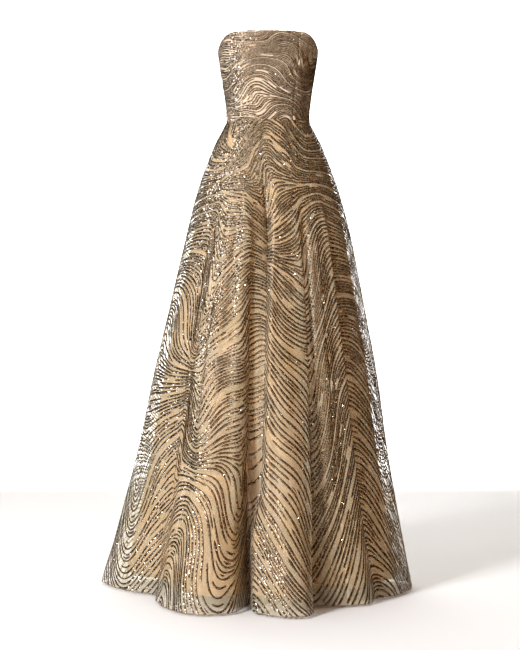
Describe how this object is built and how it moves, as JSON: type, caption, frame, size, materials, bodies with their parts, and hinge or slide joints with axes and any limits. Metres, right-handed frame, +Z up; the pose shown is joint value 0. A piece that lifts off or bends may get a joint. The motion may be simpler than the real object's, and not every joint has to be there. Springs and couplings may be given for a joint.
{
  "type": "strapless gown",
  "caption": "Full-length strapless gown in its worn, hollow form, with a princess-seamed bodice, a flared gored tulle skirt over a nude lining and a centre-back zip.",
  "frame": {"origin": "centre of the waist seam, where the wearer's waist holds the gown up", "axes": "+Z up towards the top edge, -Y out of the front, +X towards the wearer's left"},
  "size_m": [0.8304, 0.8091, 1.45],
  "materials": {
    "embroidered_tulle": "sheer net with a glitter embroidery",
    "nude_lining": "soft satin",
    "zip_tape": "woven tape",
    "zip_metal": "lacquered"
  },
  "bodies": {
    "gown": {"bodice_centre_front": "embroidered_tulle", "bodice_side_front_left": "embroidered_tulle", "bodice_side_front_right": "embroidered_tulle", "bodice_side_back_left": "embroidered_tulle", "bodice_side_back_right": "embroidered_tulle", "bodice_back_left": "embroidered_tulle", "bodice_back_right": "embroidered_tulle", "skirt_centre_front": "embroidered_tulle", "skirt_side_front_left": "embroidered_tulle", "skirt_side_front_right": "embroidered_tulle", "skirt_side_back_left": "embroidered_tulle", "skirt_side_back_right": "embroidered_tulle", "skirt_back_left": "embroidered_tulle", "skirt_back_right": "embroidered_tulle", "lining_centre_front": "nude_lining", "lining_side_front_left": "nude_lining", "lining_side_front_right": "nude_lining", "lining_side_back_left": "nude_lining", "lining_side_back_right": "nude_lining", "lining_back_left": "nude_lining", "lining_back_right": "nude_lining", "zip_tape_left": "zip_tape", "zip_tape_right": "zip_tape", "zip_slider": "zip_metal"},
    "zip_pull": {"zip_pull": "zip_metal"}
  },
  "joints": [
    {"name": "zip_pull_hinge", "type": "hinge", "parent": "gown", "child": "zip_pull", "pos_m": [0, 0.10454, 0.17425], "axis": [1, 0, 0], "range_deg": [0, 160]}
  ]
}
